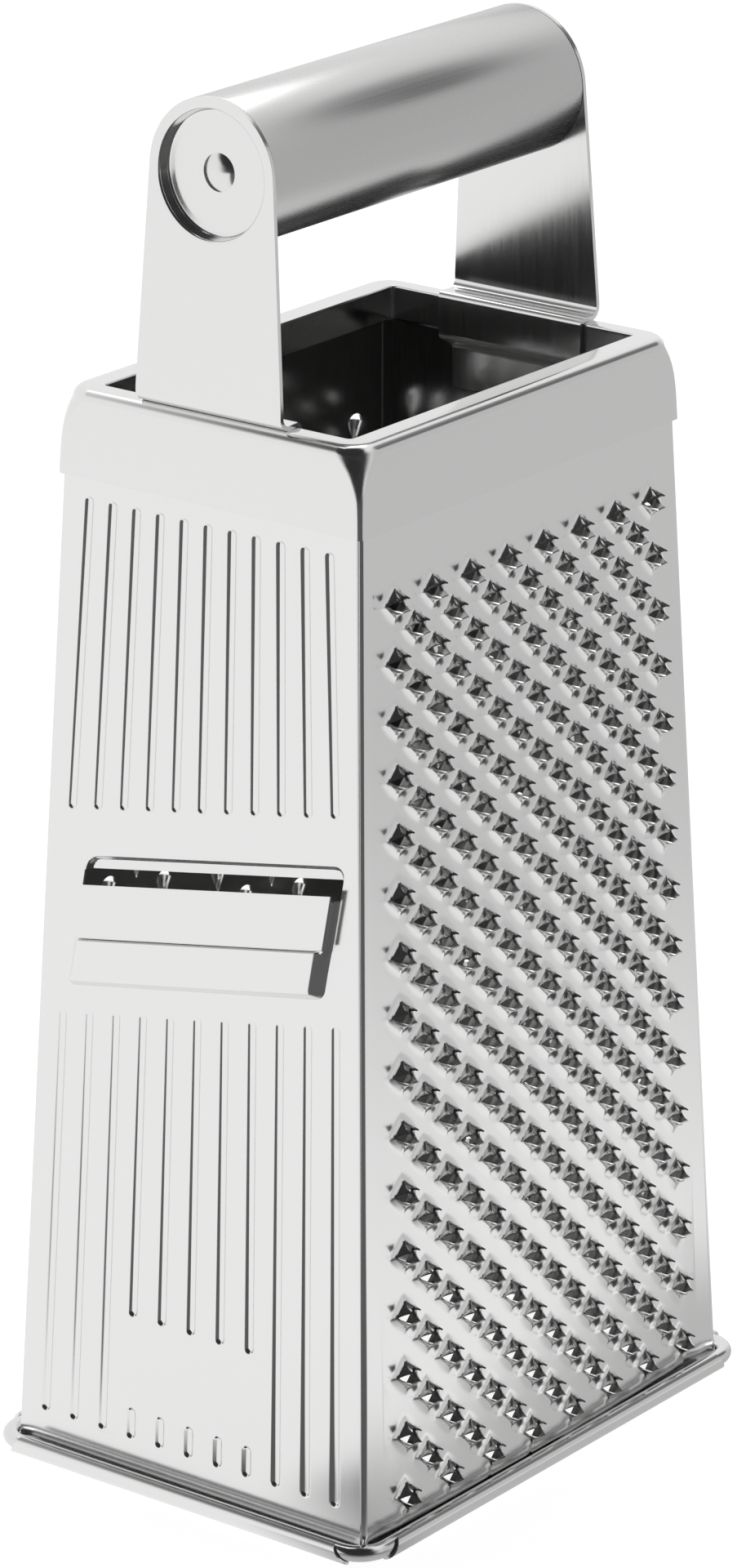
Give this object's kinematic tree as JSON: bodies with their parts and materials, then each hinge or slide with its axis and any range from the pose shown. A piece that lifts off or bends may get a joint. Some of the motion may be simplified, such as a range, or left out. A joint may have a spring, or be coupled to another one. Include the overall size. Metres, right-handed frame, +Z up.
{
  "type": "box grater",
  "caption": "Tapered four-sided sheet steel box grater with slicing, rasping and shredding walls, a rolled wire foot and a tubular top handle.",
  "frame": {"origin": "centre of the footprint, on the floor", "axes": "+Z up, +X along the handle from the slicing wall to the fine shredding wall, -Y towards the rasping wall"},
  "size_m": [0.115, 0.0864, 0.25],
  "materials": {
    "sheet_steel": "satin stainless sheet, faintly brushed up and down",
    "blade_steel": "ground stainless strip with a bevelled edge",
    "wire_steel": "smooth bright stainless wire",
    "collar_steel": "polished drawn stainless sheet",
    "bracket_steel": "polished stainless sheet",
    "tube_steel": "stainless tube, brushed round",
    "rod_steel": "bright stainless bar with peened heads"
  },
  "bodies": {
    "root": {"slicer_panel": "sheet_steel", "slicer_blade": "blade_steel", "rasp_panel": "sheet_steel", "coarse_panel": "sheet_steel", "fine_panel": "sheet_steel", "foot_wire": "wire_steel", "collar": "collar_steel", "handle_bracket_left": "bracket_steel", "handle_bracket_right": "bracket_steel", "handle_tube": "tube_steel", "tie_rod": "rod_steel"}
  },
  "joints": []
}
